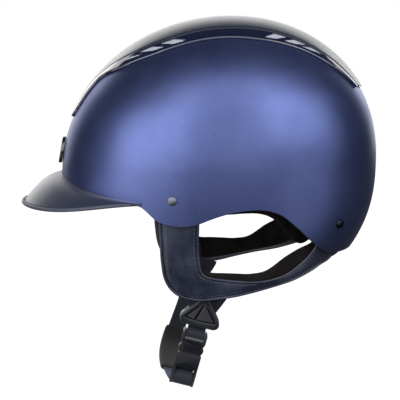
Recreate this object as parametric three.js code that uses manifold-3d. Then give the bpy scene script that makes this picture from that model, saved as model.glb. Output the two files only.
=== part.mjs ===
// Equestrian riding helmet: domed shell with a moulded peak, raised crown panel between two
// gloss vent trims, foam and padded liner, leather harness and a buckled chin strap.
// Millimetres. +Z up, -X is the front (peak), -Y is the rider's left.
// The origin is where the top of the head meets the crown pad.
import * as THREE from "three";
import { mergeVertices } from "three/addons/utils/BufferGeometryUtils.js";
import Module from "manifold-3d";

const wasm = await Module();
wasm.setup();

// ---- Driving dimensions ----
const GAP = 0.3;
const CROWN_Z = 29;
const FRONT_LENGTH = 143.6;
const REAR_LENGTH = 124.7;
const HALF_WIDTH = 108;
const BELT_Z = -95;
const SHELL_WALL = 3;
const FOAM_CROWN = 22;
const PAD_THICKNESS = 6;
const CROWN_PAD_TOP = 24.2;
const LEATHER = [4.8, 6.7];
const LINING = [7, 9.4];
const PEAK_LENGTH = 94.6;
const PEAK_HALF_WIDTH = 95;
const PEAK_CENTRE_X = -80.6;
const PEAK_BEAD_RADIUS = 1.5;
const SCREW_SPOTS = [["front", 62.1, -113.2], ["rear", 138, -136.4]];
const SCREW_SHANK_RADIUS = 2;
const WEBBING_WIDTH = 15;
const WEBBING_THICKNESS = 1.4;
const LOOP_ORIGIN = [-24.6, 0, -195];
const LOOP_FORWARD_TILT = 15;
const LEG_HALF_SPREAD = 78;
const LEG_LEAN = 9.5;
const DIVIDER_BOTTOM = -27;
const STRAP_PIVOT_DROP = 28;
const BUCKLE_DROP = 3.5;
const LADDER_BAR_DROP = 71.5;
const WRAP_RADIUS = 5.4;

const SIDES = [["left", -1], ["right", 1]];
const rad = THREE.MathUtils.degToRad;

// ---- Curves through a few knots: [position, value] ----
function curve(knots) {
  const at = knots.map((k) => k[0]);
  const value = knots.map((k) => k[1]);
  const cubic = new THREE.CubicInterpolant(at, value, 1, new Float64Array(1));
  return (t) => cubic.evaluate(THREE.MathUtils.clamp(t, at[0], at.at(-1)))[0];
}

// Lower edge of the shell, by angle in degrees from the front: brow, temple lobe, ear arch, nape.
const shellRim = curve([
  [0, -117], [30, -117.5], [46, -117.5], [50, -119.5], [56, -129.8], [61, -133], [66, -133.8],
  [71, -132.4], [78, -127.2], [85, -123], [94, -120.2], [102, -120.5], [109, -125.2],
  [116, -135.5], [123, -146.5], [130, -155.2], [138, -161], [150, -162.5], [180, -163],
]);
// Where the top of the peak meets the shell.
const peakSeam = curve([[0, -100], [12, -104], [28, -111], [50, -116.5]]);
// Upper and lower edges of the vent trim, as sideways angles by fore-aft angle.
const trimInner = curve([
  [-74, 0.4], [-71.5, 2.7], [-67, 4.1], [-60, 4.7], [-52, 8.5], [-46, 12.5], [-40, 15.5], [-32, 18],
  [-24, 19.6], [0, 20.4], [22, 19.9], [40, 18.6], [50, 17], [58, 15],
]);
const trimOuter = curve([
  [-74, 3.4], [-71, 5.8], [-64, 7.4], [-57, 9.5], [-50, 16.5], [-43, 21.3], [-34, 24.9], [-23, 26.6],
  [0, 27.6], [12, 27.7], [29, 25.6], [41, 23.2], [50, 19.8], [58, 16.2],
]);

// ---- Outer surface of the helmet ----
function round(t, power) {
  return Math.max(1 - Math.min(Math.abs(t), 1) ** power, 1e-15) ** (1 / power);
}

function frontReach(z) {
  return FRONT_LENGTH * (z > -102 ? round((z + 102) / (CROWN_Z + 102), 2) : 1);
}

function rearReach(z) {
  if (z > -87) return REAR_LENGTH * round((z + 87) / (CROWN_Z + 87), 2.1);
  const t = (-87 - z) / 75;
  return REAR_LENGTH - 20 * (t < 1 ? t ** 2.6 : 2.6 * t - 1.6);
}

function sideReach(z) {
  return HALF_WIDTH * (z > -92 ? round((z + 92) / (CROWN_Z + 92), 2.1) : round((z + 92) / 170, 2.5));
}

function inside([x, y, z]) {
  if (z >= CROWN_Z) return z - CROWN_Z + 1;
  const reach = x < 0 ? frontReach(z) : rearReach(z);
  return Math.abs(x / reach) ** 2.1 + Math.abs(y / sideReach(z)) ** 2.1 - 1;
}

function normalAt(point) {
  const h = 0.05;
  const slope = [0, 1, 2].map((k) => {
    const ahead = [...point];
    const behind = [...point];
    ahead[k] += h;
    behind[k] -= h;
    return inside(ahead) - inside(behind);
  });
  return new THREE.Vector3(...slope).normalize();
}

// Surface point at an angle from the front and a height, sunk by a depth under the surface.
function hullPoint(angle, z, depth) {
  const c = Math.cos(rad(angle));
  const s = Math.sin(rad(angle));
  const reach = c > 0 ? frontReach(z) : rearReach(z);
  const r = (Math.abs(c / reach) ** 2.1 + Math.abs(s / sideReach(z)) ** 2.1) ** (-1 / 2.1);
  const point = [-r * c, -r * s, z];
  const normal = z > CROWN_Z - 0.3 ? new THREE.Vector3(0, 0, 1) : normalAt(point);
  return new THREE.Vector3(...point).addScaledVector(normal, -depth);
}

// Height reached at a share of the way from the crown to a lower edge.
function heightAt(share, rimZ) {
  const span = CROWN_Z - BELT_Z;
  const below = (BELT_Z - rimZ) / span;
  const end = below < 0 ? Math.acos(-below) : Math.PI / 2 + below;
  const turn = share * end;
  return turn < Math.PI / 2 ? BELT_Z + span * Math.cos(turn) : BELT_Z - span * (turn - Math.PI / 2);
}

// Surface point in a direction given by fore-aft and sideways angles about the belt centre.
function crownPoint(foreAft, sideways, depth) {
  const way = new THREE.Vector3(
    Math.sin(rad(foreAft)) * Math.cos(rad(sideways)),
    -Math.sin(rad(sideways)),
    Math.cos(rad(foreAft)) * Math.cos(rad(sideways)),
  );
  let near = 60;
  let far = 200;
  for (let i = 0; i < 40; i += 1) {
    const r = (near + far) / 2;
    const point = [way.x * r, way.y * r, -92 + way.z * r];
    if (inside(point) > 0) {
      far = r;
    } else {
      near = r;
    }
  }
  const hit = new THREE.Vector3(way.x * near, way.y * near, -92 + way.z * near);
  return hit.clone().addScaledVector(normalAt(hit.toArray()), -depth);
}

// ---- Solids ----
function tidyMesh(positions) {
  const loose = new THREE.BufferGeometry();
  loose.setAttribute("position", new THREE.Float32BufferAttribute(positions, 3));
  const welded = mergeVertices(loose, 1e-3);
  const index = welded.index.array;
  const kept = [];
  for (let i = 0; i < index.length; i += 3) {
    const [a, b, c] = [index[i], index[i + 1], index[i + 2]];
    if (a !== b && b !== c && a !== c) kept.push(a, b, c);
  }
  const p = welded.attributes.position;
  let volume = 0;
  for (let i = 0; i < kept.length; i += 3) {
    const [a, b, c] = [0, 1, 2].map((k) => new THREE.Vector3().fromBufferAttribute(p, kept[i + k]));
    volume += a.dot(b.cross(c));
  }
  if (volume < 0) {
    for (let i = 0; i < kept.length; i += 3) [kept[i], kept[i + 1]] = [kept[i + 1], kept[i]];
  }
  welded.setIndex(kept);
  return welded;
}

// Closed skin between two matching grids of points, rows by columns.
function slab(outer, inner, { wrap = false, apex = false } = {}) {
  const positions = [];
  const rows = outer.length - 1;
  const columns = outer[0].length - (wrap ? 0 : 1);
  const quad = (a, b, c, d) => {
    for (const v of [a, b, c, a, c, d]) positions.push(v.x, v.y, v.z);
  };
  const next = (j) => (j + 1) % outer[0].length;
  for (let i = 0; i < rows; i += 1) {
    for (let j = 0; j < columns; j += 1) {
      quad(outer[i][j], outer[i][next(j)], outer[i + 1][next(j)], outer[i + 1][j]);
      quad(inner[i][j], inner[i + 1][j], inner[i + 1][next(j)], inner[i][next(j)]);
    }
    if (!wrap) {
      quad(outer[i][0], outer[i + 1][0], inner[i + 1][0], inner[i][0]);
      quad(outer[i][columns], inner[i][columns], inner[i + 1][columns], outer[i + 1][columns]);
    }
  }
  for (let j = 0; j < columns; j += 1) {
    if (!apex) quad(outer[0][j], inner[0][j], inner[0][next(j)], outer[0][next(j)]);
    quad(outer[rows][j], outer[rows][next(j)], inner[rows][next(j)], inner[rows][j]);
  }
  return tidyMesh(positions);
}

function grid(rows, columns, point) {
  return rows.map((row) => columns.map((column) => point(row, column)));
}

function steps(from, to, count) {
  return Array.from({ length: count + 1 }, (_, i) => from + ((to - from) * i) / count);
}

function toManifold(geometry) {
  const welded = tidyMesh((geometry.index ? geometry.toNonIndexed() : geometry).attributes.position.array);
  return new wasm.Manifold(new wasm.Mesh({
    numProp: 3,
    vertProperties: new Float32Array(welded.attributes.position.array),
    triVerts: new Uint32Array(welded.index.array),
  }));
}

function fromManifold(solid) {
  const mesh = solid.getMesh();
  const geometry = new THREE.BufferGeometry();
  geometry.setAttribute("position", new THREE.Float32BufferAttribute(mesh.vertProperties, 3));
  geometry.setIndex(Array.from(mesh.triVerts));
  return geometry;
}

function cut(geometry, tools) {
  return fromManifold(tools.reduce((solid, tool) => solid.subtract(toManifold(tool)), toManifold(geometry)));
}

function join(geometries) {
  return fromManifold(geometries.map(toManifold).reduce((a, b) => a.add(b)));
}

// Outline in X and Z, extruded between two Y positions, with optional holes.
function plateXZ(points, yFrom, yTo, holes = []) {
  const shape = new THREE.Shape(points.map(([x, z]) => new THREE.Vector2(x, z)));
  shape.holes = holes.map((hole) => new THREE.Path(hole.map(([x, z]) => new THREE.Vector2(x, z))));
  const plate = new THREE.ExtrudeGeometry(shape, { depth: yTo - yFrom, bevelEnabled: false });
  return plate.rotateX(Math.PI / 2).translate(0, yTo, 0);
}

function box(x0, x1, y0, y1, z0, z1) {
  const block = new THREE.BoxGeometry(x1 - x0, y1 - y0, z1 - z0);
  return block.translate((x0 + x1) / 2, (y0 + y1) / 2, (z0 + z1) / 2);
}

// Rod along a direction, from a point.
function rod(from, way, length, radius, sides = 16) {
  const cylinder = new THREE.CylinderGeometry(radius, radius, length, sides).translate(0, length / 2, 0);
  cylinder.applyQuaternion(new THREE.Quaternion().setFromUnitVectors(new THREE.Vector3(0, 1, 0), way));
  return cylinder.translate(from.x, from.y, from.z);
}

// Turned piece standing on a point along a direction; profile is [radius, height].
function turned(profile, from, way, sides = 14) {
  const lathe = new THREE.LatheGeometry(profile.map(([r, h]) => new THREE.Vector2(r, h)), sides);
  lathe.applyQuaternion(new THREE.Quaternion().setFromUnitVectors(new THREE.Vector3(0, 1, 0), way));
  return lathe.translate(from.x, from.y, from.z);
}

// Flat webbing along a path of [x, y, z] points; the width runs along X.
function ribbon(path, width, thickness) {
  const points = path.map((p) => new THREE.Vector3(...p));
  const faces = [-1, 1].map((side) => points.map((point, i) => {
    const before = points[Math.max(i - 1, 0)];
    const after = points[Math.min(i + 1, points.length - 1)];
    const way = after.clone().sub(before).setX(0).normalize();
    const out = new THREE.Vector3(0, -way.z, way.y);
    const middle = point.clone().addScaledVector(out, (side * thickness) / 2);
    return [-0.5, 0.5].map((share) => middle.clone().setX(middle.x + share * width));
  }));
  return slab(faces[0], faces[1]);
}

// ---- Assembly ----
const helmet = new THREE.Group();
helmet.name = "riding_helmet";

function add(name, geometry, color, roughness, metalness, parent = helmet) {
  geometry.computeVertexNormals();
  const material = new THREE.MeshStandardMaterial({ color, roughness, metalness });
  const mesh = new THREE.Mesh(geometry, material);
  mesh.name = name;
  parent.add(mesh);
  return mesh;
}

const mirrorAngles = (half) => [...half, ...half.slice(1, -1).reverse().map((angle) => -angle)];
const rimAngles = mirrorAngles([
  0, 12, 24, 36, 46, 49, 52, 55, 58, 62, 66, 70, 74, 79, 84, 90, 96, 102, 108, 114, 120, 126, 133, 141, 149,
  157, 165, 172, 180,
]);
const foamAngles = mirrorAngles([0, 18, 36, 48, 56, 64, 74, 86, 98, 110, 122, 136, 150, 165, 180]);

// Screw holes, square to the shell
const screws = SIDES.flatMap(([side, sign]) => SCREW_SPOTS.map(([end, angle, z]) => {
  const seat = hullPoint(-sign * angle, z, 0);
  return { name: `${end}_${side}`, seat, way: normalAt(seat.toArray()) };
}));
const screwHoles = (radius) => screws.map(({ seat, way }) => {
  return rod(seat.clone().addScaledVector(way, 8), way.clone().negate(), 28, radius);
});

// Vents: slanted slots, three ahead of and three behind the crown on each side
const VENTS = [[-46.3, -40.3], [-37.6, -31.6], [-28.8, -22.8], [14.2, 20.2], [22.7, 28.7], [30.4, 36.4]];
const ventTools = (sign) => VENTS.map(([from, to]) => {
  const slant = from < 0 ? 2.5 : -2.5;
  const corner = (foreAft, share, depth) => {
    const sideways = THREE.MathUtils.lerp(trimInner(foreAft) + 1.4, trimOuter(foreAft) - 1.4, share);
    return crownPoint(foreAft + (share - 0.5) * 2 * slant, -sign * sideways, depth);
  };
  const level = (depth) => grid([from, to], [0, 1], (foreAft, share) => corner(foreAft, share, depth));
  return slab(level(-6), level(7));
});

// Shell
const shellLevel = (depth) => grid(steps(0, 1, 9), rimAngles, (share, angle) => {
  return hullPoint(angle, heightAt(share, shellRim(Math.abs(angle))), depth);
});
const shellBlank = slab(shellLevel(0), shellLevel(SHELL_WALL), { wrap: true, apex: true });
const shellTools = [...screwHoles(SCREW_SHANK_RADIUS + GAP), ...SIDES.flatMap(([, sign]) => ventTools(sign))];
add("outer_shell", cut(shellBlank, shellTools), 0x2e3a6e, 0.42, 0.45);

// Crown panel and the two gloss trims beside it
const trimSteps = [
  -74, -72, -70, -67, -63, -59, -55, -52, -49, -46, -42, -38, -33, -27, -20, -11, -2, 7, 16, 24, 31, 38, 45,
  52, 58,
];
const panelSteps = [
  -69.5, -65, -60, -56, -52, -48, -44, -39, -33, -26, -18, -10, -2, 6, 14, 22, 30, 38, 46, 52, 57, 61,
];
const panelLevel = (depth) => grid(panelSteps, steps(-1, 1, 8), (foreAft, share) => {
  const rounded = foreAft - 4 * share ** 2 * THREE.MathUtils.smoothstep(foreAft, 46, 61);
  return crownPoint(rounded, share * (trimInner(rounded) - 0.25), depth);
});
add("crown_panel", slab(panelLevel(-1.9), panelLevel(-0.45)), 0x232a45, 0.5, 0.3);
for (const [side, sign] of SIDES) {
  const trimLevel = (depth) => grid(trimSteps, [0, 0.5, 1], (foreAft, share) => {
    const sideways = THREE.MathUtils.lerp(trimInner(foreAft), trimOuter(foreAft), share);
    return crownPoint(foreAft, -sign * sideways, depth);
  });
  const trim = cut(slab(trimLevel(-2.2), trimLevel(-0.45)), ventTools(sign));
  add(`${side}_gloss_trim`, trim, 0x10142c, 0.08, 0.2);
}

// Peak: a crescent blade standing off the brow, with a bead along its free edge
const peakTurns = steps(-90, 90, 24);
const peakAngle = (turn) => (-turn * 50) / 90;
const peakRim = (turn, extra) => {
  const y = (PEAK_HALF_WIDTH + extra) * Math.sin(rad(turn));
  const x = PEAK_CENTRE_X - (PEAK_LENGTH + extra) * Math.cos(rad(turn));
  return new THREE.Vector3(x, y, -126 + 8.7 * Math.abs(y / 96) ** 6);
};
const peakLevel = (rootDrop, rimDrop, bulge) => grid(steps(0, 1, 5), peakTurns, (share, turn) => {
  const angle = peakAngle(turn);
  const taper = 1 - 0.72 * Math.abs(turn / 90) ** 5;
  const root = hullPoint(angle, peakSeam(Math.abs(angle)) - rootDrop * taper, -GAP - 0.1);
  const rim = peakRim(turn, 0);
  rim.z -= rimDrop * taper;
  const point = root.lerp(rim, share);
  point.z += bulge * Math.sin(Math.PI * share) * Math.cos(rad(turn));
  return point;
});
add("peak", slab(peakLevel(0, -1.4, 5), peakLevel(6, 1.4, 4)), 0x272f52, 0.6, 0.25);
const beadPath = new THREE.CatmullRomCurve3(steps(-86, 86, 24).map((turn) => {
  return peakRim(turn, PEAK_BEAD_RADIUS + GAP);
}));
const beadSection = new THREE.Shape().absarc(0, 0, PEAK_BEAD_RADIUS, 0, 2 * Math.PI);
add("peak_edge_bead", new THREE.ExtrudeGeometry(beadSection, {
  steps: 30, curveSegments: 4, bevelEnabled: false, extrudePath: beadPath,
}), 0x14161f, 0.5, 0);

// Badge: oval ring round a plain disc on the brow, its back shaped to the shell
const oval = (halfWidth, halfHeight) => steps(0, 360, 24).slice(0, -1).map((turn) => {
  return [halfWidth * Math.cos(rad(turn)), halfHeight * Math.sin(rad(turn))];
});
const hullTool = slab(
  grid(steps(0.6, 1, 8), steps(-12, 12, 6), (share, angle) => hullPoint(angle, heightAt(share, -110), -GAP)),
  grid(steps(0.6, 1, 8), steps(-12, 12, 6), (share, angle) => hullPoint(angle, heightAt(share, -110), 12)),
);
const BADGE_CENTRE = [-144.8, 0, -82.3];
const BADGE_TILT = 10;
const badgePiece = (outline, hole, recess) => {
  const blank = plateXZ(outline, recess, 12, hole).rotateZ(-Math.PI / 2);
  return cut(blank.rotateY(rad(BADGE_TILT)).translate(...BADGE_CENTRE), [hullTool]);
};
add("badge_ring", badgePiece(oval(9.5, 11.3), [oval(7.3, 9.1)], 0), 0x8a90a5, 0.25, 0.9);
add("badge_disc", badgePiece(oval(7, 8.8), [], 0.8), 0x161a2c, 0.3, 0.4);

// Foam liner, thicker ahead and behind, slimmer where the harness passes
const foamDepth = (share, angle) => FOAM_CROWN + share ** 2 * (-3.5 + 6 * Math.cos(rad(angle)) ** 2);
const foamLevel = (inner) => grid(steps(0, 1, 7), foamAngles, (share, angle) => {
  const outerDepth = 4.6 + 5.2 * THREE.MathUtils.smoothstep(share, 0.5, 0.72);
  const depth = inner ? foamDepth(share, angle) : outerDepth;
  return hullPoint(angle, heightAt(share, shellRim(Math.abs(angle)) + 4), depth);
});
add("foam_liner", slab(foamLevel(false), foamLevel(true), { wrap: true, apex: true }), 0x15161a, 0.9, 0);

// Padded lining: a headband hanging a little below the shell, and a crown pad
const padDrop = curve([
  [0, 3], [45, 5], [60, -3], [75, 1], [88, 7], [112, 9], [122, 10.5], [131, 9], [145, 3.5], [180, 2],
]);
const bandLevel = (extra) => grid(steps(0.66, 1, 4), foamAngles, (share, angle) => {
  const rim = shellRim(Math.abs(angle)) - padDrop(Math.abs(angle));
  return hullPoint(angle, heightAt(share, rim), foamDepth(share, angle) + 2 + extra);
});
add("headband_pad", slab(bandLevel(0), bandLevel(PAD_THICKNESS), { wrap: true }), 0x17181c, 0.95, 0);
const crownPadAngles = mirrorAngles(steps(0, 180, 10));
const crownPadLevel = (depth, reach) => grid(steps(0, reach, 3), crownPadAngles, (share, angle) => {
  return hullPoint(angle, heightAt(share, BELT_Z), depth);
});
add("crown_pad", slab(crownPadLevel(CROWN_PAD_TOP, 0.5), crownPadLevel(CROWN_Z, 0.46), {
  wrap: true, apex: true,
}), 0x1a1b20, 0.95, 0);

// Harness: a leather band down from the temple, under the ear and back up behind it
const HARNESS_OUTER = [
  [57, -107], [55.6, -122], [55.6, -150], [55.5, -166], [56, -181], [58.5, -191.5], [63, -197.5],
  [71, -200], [80, -198.8], [89, -196.4], [97, -193.4], [109, -189], [121, -185], [132, -179.5],
  [139, -175], [146.6, -170.5], [147, -155], [146.5, -129],
];
const HARNESS_INNER = [
  [67, -107], [72.5, -122], [72.5, -150], [72.5, -160], [72.8, -168], [73.4, -173.5], [75, -177],
  [78.5, -178.9], [83, -180], [89, -181.2], [97, -182.2], [106, -181.6], [116, -177.2], [124, -168],
  [128.5, -158], [129.5, -150], [129.8, -142], [130, -129],
];
const harnessLevel = (sign, depth, from, to) => HARNESS_OUTER.map(([angle, z], i) => {
  const [innerAngle, innerZ] = HARNESS_INNER[i];
  return steps(from, to, 3).map((share) => {
    const { lerp } = THREE.MathUtils;
    return hullPoint(-sign * lerp(angle, innerAngle, share), lerp(z, innerZ, share), depth);
  });
});
// The lining runs from near the leather's outer edge to a little past its inner one
const LINING_EDGES = [
  [0.2, 1.03], [0.2, 1.03], [0.2, 1.03], [0.2, 1.05], [0.2, 1.1], [0.2, 1.15], [0.2, 1.22],
  [0.2, 1.32], [0.2, 1.48], [0.2, 1.85], [0.2, 2.15], [0.2, 1.72], [0.2, 1.2], [0.2, 1.03],
];
for (const [side, sign] of SIDES) {
  const leather = slab(harnessLevel(sign, LEATHER[0], 0, 1), harnessLevel(sign, LEATHER[1], 0, 1));
  add(`${side}_harness_leather`, cut(leather, screwHoles(SCREW_SHANK_RADIUS + GAP)), 0x2a2f45, 0.5, 0);
  const liningLevel = (depth) => LINING_EDGES.map(([outerShare, innerShare], i) => {
    return harnessLevel(sign, depth, outerShare, innerShare)[i + 2];
  });
  const lining = slab(liningLevel(LINING[0]), liningLevel(LINING[1]));
  add(`${side}_harness_lining`, lining, 0x131418, 0.95, 0);
}

// Nape piece joining the two sides behind the head
const napeLevel = (depth) => grid(steps(0, 1, 2), steps(148, 212, 12), (share, angle) => {
  const lift = 3.5 * Math.cos(rad((angle - 180) * 2.8));
  return hullPoint(angle, THREE.MathUtils.lerp(-140, -171 + lift, share), depth);
});
add("nape_leather", slab(napeLevel(LEATHER[0] + 0.4), napeLevel(LEATHER[1] + 0.4)), 0x2a2f45, 0.5, 0);
add("nape_lining", slab(napeLevel(LINING[0] + 0.4), napeLevel(LINING[1])), 0x131418, 0.95, 0);

// Dome-headed screws through shell and leather, each with a flat nut inside
for (const { name, seat, way } of screws) {
  const head = [[0, 0.3], [4, 0.3], [3.9, 0.9], [3.1, 1.9], [1.7, 2.5], [0, 2.7]];
  const shank = [[0, -9.4], [SCREW_SHANK_RADIUS, -9.4], [SCREW_SHANK_RADIUS, 0.3]];
  add(`screw_${name}`, turned([...shank, ...head.slice(1)], seat, way), 0x5a6070, 0.3, 0.9);
  const bore = SCREW_SHANK_RADIUS + GAP;
  const nut = [[bore, -8.9], [4.6, -8.9], [4.6, -7.6], [bore, -7.6], [bore, -8.9]];
  add(`nut_${name}`, turned(nut, seat, way), 0x8c8f94, 0.4, 0.9);
}

// Chin loop: everything below lies in one plane, tilted forward about the harness corners
const loop = new THREE.Group();
loop.position.set(...LOOP_ORIGIN);
loop.rotation.y = rad(LOOP_FORWARD_TILT);
helmet.add(loop);

// Webbing fork from the leather down to the divider; the left one loops round the buckle bar
const BUCKLE_BAR_Z = -31;
const LOOP_BAR_Z = BUCKLE_BAR_Z - BUCKLE_DROP;
const forkOutline = (bottom) => [
  [-17.5, 5], [-17.5, 0], [-7.5, -18], [-7.5, bottom], [7.5, bottom], [7.5, -18], [17.5, 0], [17.5, 5],
];
const arc = (radius, from, to, count, z) => steps(from, to, count).map((turn) => {
  return [radius * Math.cos(rad(turn)), z + radius * Math.sin(rad(turn))];
});
const acrossWebbing = (outline, half) => plateXZ(outline, -half, half).rotateZ(Math.PI / 2);
const barLoop = cut(
  acrossWebbing([[0.7, -29.6], ...arc(3.4, 20, -200, 10, LOOP_BAR_Z), [-0.7, -29.6]], WEBBING_WIDTH / 2),
  [acrossWebbing(arc(2, 0, -340, 17, LOOP_BAR_Z), WEBBING_WIDTH)],
);

// Divider: rounded triangle clamping the fork, open inside so that it can slide along it
const dividerHalf = [
  [1.7, -0.7], [3.1, -2.2], [15, -17.6], [16.5, -20.2], [16.9, -22.7], [16, -25], [14.1, -26.5],
  [11.4, DIVIDER_BOTTOM],
];
const dividerOutline = [[0, -0.3], ...dividerHalf, ...dividerHalf.map(([x, z]) => [-x, z]).reverse()];
const dividerChannel = plateXZ([
  [-23, 5], [-8.1, -22], [-8.1, -30], [8.1, -30], [8.1, -22], [23, 5],
], -1.1, 1.1);
function divider(sign) {
  const recess = plateXZ([[0, -4.4], [-12.6, -20.3], [-12.2, -21.6], [12.2, -21.6], [12.6, -20.3]], -8, -4);
  const base = [[0, -5.6], [-11.2, -20.8], [11.2, -20.8]].map(([x, z]) => new THREE.Vector3(x, -3.6, z));
  const ridge = new THREE.Vector3(-4.5 * sign, -6.4, -19.6);
  const facets = [[0, 1, 2], [0, 3, 1], [1, 3, 2], [2, 3, 0]];
  const corners = [...base, ridge];
  const pyramid = tidyMesh(facets.flatMap((f) => f.flatMap((k) => corners[k].toArray())));
  const body = cut(plateXZ(dividerOutline, -5.2, 3.2), [dividerChannel, recess]);
  return join([body, pyramid]);
}

const legs = {};
for (const [side, sign] of SIDES) {
  const leg = new THREE.Group();
  leg.position.set(0, sign * LEG_HALF_SPREAD, 0);
  leg.rotation.x = rad(-sign * LEG_LEAN);
  loop.add(leg);
  legs[side] = leg;
  const bottom = side === "left" ? -30.4 : -25.6;
  const fork = plateXZ(forkOutline(bottom), -WEBBING_THICKNESS / 2, WEBBING_THICKNESS / 2);
  const strap = side === "left" ? join([fork, barLoop]) : fork;
  add(`${side}_strap_fork`, strap, 0x14161c, 0.9, 0, leg);
  const slide = side === "left" ? divider(1) : divider(-1).rotateZ(Math.PI);
  add(`${side}_strap_divider`, slide, 0x191b22, 0.35, 0, leg);
}

// Side-release buckle: socket above, plug with two sprung prongs and a ladder-lock bar below
const socketHalf = [
  [9.6, -29.2], [10.3, -30.4], [10.3, -37.5], [9.6, -39.8], [7.4, -42.2], [6.7, -44.6], [7.4, -47],
  [9.6, -48.6], [10, -49.5],
];
const socketOutline = [...socketHalf, ...socketHalf.map(([x, z]) => [-x, z]).reverse()];
const buckle = new THREE.Group();
buckle.position.z = -BUCKLE_DROP;
legs.left.add(buckle);
add("buckle_socket", cut(plateXZ(socketOutline, -4.5, 4.5), [
  box(-7.9, 7.9, -6, 6, -37, -32.2),
  box(-7.9, 7.9, -6, 6, -29.8, -28),
  box(-7.9, 7.9, -6, -1.2, -33, -28),
  box(-7.9, 7.9, 1.2, 6, -33, -28),
  box(-8.3, 8.3, -3.1, 3.1, -51, -39),
  box(-12, 12, -2.1, 2.1, -51, -45),
]), 0x1b1d24, 0.35, 0, buckle);

const cheekOutline = [
  [-4.1, -60], [-5.4, -67], [-5.6, -72.5], [-4, -76.7], [0, -78.4], [4, -76.7], [5.6, -72.5], [5.2, -67],
  [4.1, -60],
];
const cheek = (x) => plateXZ(cheekOutline, -x - 1.8, -x).rotateZ(Math.PI / 2);
const plugBlank = join([
  box(-9.9, 9.9, -4.2, 4.2, -62, -49.9),
  box(-0.9, 0.9, -1.5, 1.5, -51, -41),
  cheek(8.1),
  cheek(-9.9),
  rod(new THREE.Vector3(-9, 0, -LADDER_BAR_DROP), new THREE.Vector3(1, 0, 0), 18, WRAP_RADIUS - 1.1, 20),
]);
add("buckle_plug", cut(plugBlank, [
  box(-8.7, -2.3, -2.1, 2.1, -57.2, -49),
  box(2.3, 8.7, -2.1, 2.1, -57.2, -49),
]), 0x1b1d24, 0.35, 0, buckle);

const prongOutline = [
  [-7.6, -56], [-7.8, -51], [-8.2, -49.2], [-10.2, -47.2], [-10.7, -44.6], [-9.4, -42], [-6.6, -40.2],
  [-4.4, -40.6], [-4, -44], [-4.2, -50], [-4.6, -56],
];
add("buckle_front_prong", plateXZ(prongOutline, -1.7, 1.7), 0x20232b, 0.3, 0, buckle);
const rearProng = plateXZ(prongOutline, -1.7, 1.7).rotateZ(Math.PI);
add("buckle_rear_prong", rearProng, 0x20232b, 0.3, 0, buckle);

// Webbing under the chin, from the right divider to the ladder-lock bar, and its padded sleeve
const legPoint = (sign, drop) => {
  const lean = rad(LEG_LEAN);
  return [sign * (LEG_HALF_SPREAD - drop * Math.sin(lean)), -drop * Math.cos(lean)];
};
const [pivotY, pivotZ] = legPoint(1, STRAP_PIVOT_DROP);
const [barY, barZ] = legPoint(-1, LADDER_BAR_DROP + BUCKLE_DROP);
const sag = [
  [-0.5, pivotY, pivotZ], [-1, 71.4, -37.5], [-2.5, 66, -48.5], [-4.5, 55.5, -59], [-6.5, 41, -68],
  [-7.5, 22, -74.3], [-7, 3, -78.4], [-5.5, -16, -80.9], [-3, -35, -82.1], [-0.8, -50.5, -81.9],
  [-0.2, -58.9, -81],
];
const wrapTurns = [-90, -120, -150, -180, -210, -240, -270, -295];
const wrap = wrapTurns.map((turn) => {
  return [0, barY + WRAP_RADIUS * Math.cos(rad(turn)), barZ + WRAP_RADIUS * Math.sin(rad(turn))];
});
const chinPath = [...sag, ...wrap];
add("chin_webbing", ribbon(chinPath, WEBBING_WIDTH, WEBBING_THICKNESS), 0x14161c, 0.9, 0, loop);
const sleeve = cut(ribbon(sag.slice(3, 8), 19.4, 5.2), [ribbon(sag.slice(2, 9), WEBBING_WIDTH + 0.8, 2.2)]);
add("chin_sleeve", sleeve, 0x1c1e23, 0.95, 0, loop);

export default helmet;
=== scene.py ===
"""Looks of the riding helmet: every CAD piece is rebuilt here in finer detail, in the CAD frame.

The buckle's four parts are copies of their CAD solids with softened edges; all others are built from curves.

Sizes inside the script are in millimetres and become metres when a mesh is made.
+Z is up, -X is the front (peak) and -Y is the wearer's left.
"""

import math

import bmesh
import bpy
import numpy as np
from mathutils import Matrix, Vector


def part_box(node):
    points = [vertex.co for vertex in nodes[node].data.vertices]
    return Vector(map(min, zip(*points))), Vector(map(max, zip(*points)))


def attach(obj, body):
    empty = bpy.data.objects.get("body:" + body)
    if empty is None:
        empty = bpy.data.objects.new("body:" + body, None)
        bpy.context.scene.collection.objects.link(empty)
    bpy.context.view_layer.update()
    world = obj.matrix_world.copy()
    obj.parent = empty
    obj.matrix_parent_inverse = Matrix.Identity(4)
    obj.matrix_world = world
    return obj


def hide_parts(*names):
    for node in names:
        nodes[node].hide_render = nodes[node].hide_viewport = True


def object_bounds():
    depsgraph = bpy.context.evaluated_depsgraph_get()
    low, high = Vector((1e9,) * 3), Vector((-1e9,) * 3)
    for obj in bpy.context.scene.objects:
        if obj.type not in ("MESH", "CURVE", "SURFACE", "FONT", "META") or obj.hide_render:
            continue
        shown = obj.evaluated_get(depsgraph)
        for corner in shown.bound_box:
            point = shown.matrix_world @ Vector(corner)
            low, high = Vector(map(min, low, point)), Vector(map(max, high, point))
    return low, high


MM = 0.001
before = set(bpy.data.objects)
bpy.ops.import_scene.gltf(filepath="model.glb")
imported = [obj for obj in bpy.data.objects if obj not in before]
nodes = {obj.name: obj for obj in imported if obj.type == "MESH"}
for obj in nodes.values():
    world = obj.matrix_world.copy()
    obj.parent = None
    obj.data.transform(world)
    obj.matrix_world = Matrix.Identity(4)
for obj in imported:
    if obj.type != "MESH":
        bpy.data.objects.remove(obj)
cad_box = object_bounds()


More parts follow.
